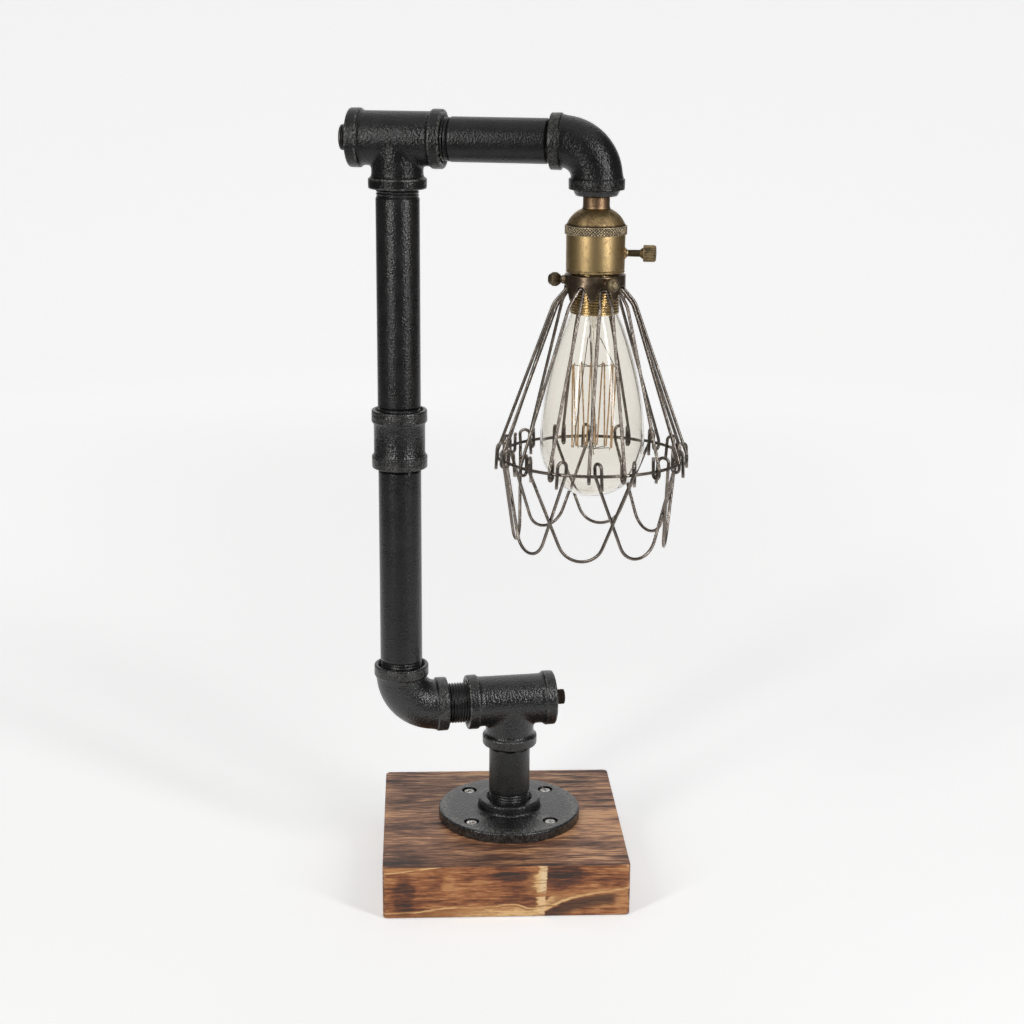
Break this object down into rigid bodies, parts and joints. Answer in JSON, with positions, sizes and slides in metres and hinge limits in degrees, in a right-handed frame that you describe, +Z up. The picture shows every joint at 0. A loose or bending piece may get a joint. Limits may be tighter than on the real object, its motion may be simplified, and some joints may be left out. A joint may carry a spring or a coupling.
{
  "type": "table lamp",
  "caption": "Pipe table lamp: wooden block, floor flange, swinging column and arm of screwed iron pipe, brass lampholder with turn key, filament bulb and wire cage with hanging petals.",
  "frame": {"origin": "centre of the wooden block's underside, on the table", "axes": "+Z up, +X along the block's front edge to the right, towards the hanging lamp, -Y towards the front"},
  "size_m": [0.2121, 0.1734, 0.4933],
  "materials": {
    "wood": "torched and oiled pine",
    "iron_fitting": "grainy semi-gloss black paint",
    "iron_pipe": "grainy semi-gloss black paint",
    "bright_steel": "bright zinc plate",
    "raw_steel": "dull, slightly rusted",
    "antique_brass": "antiqued, dark in the hollows",
    "bronzed_wire": "dark bronze plate, worn lighter on edges",
    "liner_paper": "brown insulating paper",
    "switch_moulding": "moulded phenolic",
    "bulb_glass": "clear, polished",
    "cap_metal": "plain spun metal",
    "filament": "fine drawn wire",
    "lead_cover": "black braided cover"
  },
  "bodies": {
    "base": {"wood_base": "wood", "floor_flange": "iron_fitting", "flange_screws": "bright_steel", "base_nipple": "iron_pipe"},
    "lower_arm": {"base_tee": "iron_fitting", "outlet_plug": "iron_fitting", "outlet_washer": "raw_steel", "outlet_tube": "raw_steel", "close_nipple": "iron_pipe", "lower_elbow": "iron_fitting", "lower_column_pipe": "iron_pipe", "column_coupling": "iron_fitting", "lower_lead": "lead_cover"},
    "upper_arm": {"upper_column_pipe": "iron_pipe", "top_tee": "iron_fitting", "top_tee_plug": "iron_fitting", "arm_pipe": "iron_pipe", "upper_lead": "lead_cover"},
    "head": {"arm_elbow": "iron_fitting", "reducer_bushing": "iron_fitting", "lamp_nipple": "raw_steel", "socket_cap": "antique_brass", "socket_ring": "antique_brass", "socket_shell": "antique_brass", "shell_liner": "liner_paper", "switch_body": "switch_moulding", "terminal_screws": "bright_steel", "centre_contact": "antique_brass", "screw_shell": "antique_brass", "threaded_sleeve": "antique_brass", "head_lead": "lead_cover", "cage_collar": "bronzed_wire", "cage_rib_1": "bronzed_wire", "cage_rib_2": "bronzed_wire", "cage_rib_3": "bronzed_wire", "cage_rib_4": "bronzed_wire", "cage_rib_5": "bronzed_wire", "cage_rib_6": "bronzed_wire", "cage_rib_7": "bronzed_wire", "cage_rib_8": "bronzed_wire", "cage_ring": "bronzed_wire"},
    "key": {"switch_key": "antique_brass", "switch_rotor": "switch_moulding"},
    "bulb": {"bulb_glass": "bulb_glass", "bulb_cap": "cap_metal", "bulb_contact": "cap_metal", "bulb_stem": "bulb_glass", "bulb_filament": "filament", "bulb_supports": "filament"},
    "thumb_1": {"thumb_screw_1": "bronzed_wire"},
    "thumb_2": {"thumb_screw_2": "bronzed_wire"},
    "thumb_3": {"thumb_screw_3": "bronzed_wire"},
    "petal_1_body": {"petal_1": "bronzed_wire"},
    "petal_2_body": {"petal_2": "bronzed_wire"},
    "petal_3_body": {"petal_3": "bronzed_wire"},
    "petal_4_body": {"petal_4": "bronzed_wire"},
    "petal_5_body": {"petal_5": "bronzed_wire"},
    "petal_6_body": {"petal_6": "bronzed_wire"},
    "petal_7_body": {"petal_7": "bronzed_wire"},
    "petal_8_body": {"petal_8": "bronzed_wire"}
  },
  "joints": [
    {"name": "lower_arm_swing", "type": "hinge", "parent": "base", "child": "lower_arm", "pos_m": [0.005, 0.002, 0.1153], "axis": [0, 0, 1], "range_deg": [-90, 90]},
    {"name": "arm_swing", "type": "hinge", "parent": "lower_arm", "child": "upper_arm", "pos_m": [-0.06531, -0.00788, 0.2925], "axis": [0, 0, 1], "range_deg": [-90, 90]},
    {"name": "head_tilt", "type": "hinge", "parent": "upper_arm", "child": "head", "pos_m": [0.0521, -0.03629, 0.4756], "axis": [0.972, -0.2351, 0], "range_deg": [-45, 45]},
    {"name": "switch_turn", "type": "hinge", "parent": "head", "child": "key", "pos_m": [0.0521, -0.03629, 0.4111], "axis": [0.9888, -0.1495, 0], "continuous": true},
    {"name": "bulb_turn", "type": "hinge", "parent": "head", "child": "bulb", "pos_m": [0.0521, -0.03629, 0.3998], "axis": [0, 0, 1], "continuous": true},
    {"name": "thumb_screw_1_turn", "type": "hinge", "parent": "head", "child": "thumb_1", "pos_m": [0.06377, -0.02258, 0.3947], "axis": [0.6481, 0.7615, 0], "range_deg": [0, 540]},
    {"name": "thumb_screw_2_turn", "type": "hinge", "parent": "head", "child": "thumb_2", "pos_m": [0.0344, -0.03304, 0.3947], "axis": [-0.9836, 0.1805, 0], "range_deg": [0, 540]},
    {"name": "thumb_screw_3_turn", "type": "hinge", "parent": "head", "child": "thumb_3", "pos_m": [0.05814, -0.05324, 0.3947], "axis": [0.3355, -0.9421, 0], "range_deg": [0, 540]},
    {"name": "petal_1_swing", "type": "hinge", "parent": "head", "child": "petal_1_body", "pos_m": [0.09717, -0.04623, 0.2874], "axis": [-0.2156, -0.9765, 0], "range_deg": [0, 100]},
    {"name": "petal_2_swing", "type": "hinge", "parent": "head", "child": "petal_2_body", "pos_m": [0.091, -0.01146, 0.2874], "axis": [0.538, -0.8429, 0], "range_deg": [-35, 0]},
    {"name": "petal_3_swing", "type": "hinge", "parent": "head", "child": "petal_3_body", "pos_m": [0.06205, 0.00877, 0.2874], "axis": [0.9765, -0.2156, 0], "range_deg": [0, 100]},
    {"name": "petal_4_swing", "type": "hinge", "parent": "head", "child": "petal_4_body", "pos_m": [0.02728, 0.00261, 0.2874], "axis": [0.8429, 0.538, 0], "range_deg": [-35, 0]},
    {"name": "petal_5_swing", "type": "hinge", "parent": "head", "child": "petal_5_body", "pos_m": [0.00704, -0.02634, 0.2874], "axis": [0.2156, 0.9765, 0], "range_deg": [0, 100]},
    {"name": "petal_6_swing", "type": "hinge", "parent": "head", "child": "petal_6_body", "pos_m": [0.01321, -0.06112, 0.2874], "axis": [-0.538, 0.8429, 0], "range_deg": [-35, 0]},
    {"name": "petal_7_swing", "type": "hinge", "parent": "head", "child": "petal_7_body", "pos_m": [0.04215, -0.08135, 0.2874], "axis": [-0.9765, 0.2156, 0], "range_deg": [0, 100]},
    {"name": "petal_8_swing", "type": "hinge", "parent": "head", "child": "petal_8_body", "pos_m": [0.07693, -0.07518, 0.2874], "axis": [-0.8429, -0.538, 0], "range_deg": [-35, 0]}
  ]
}
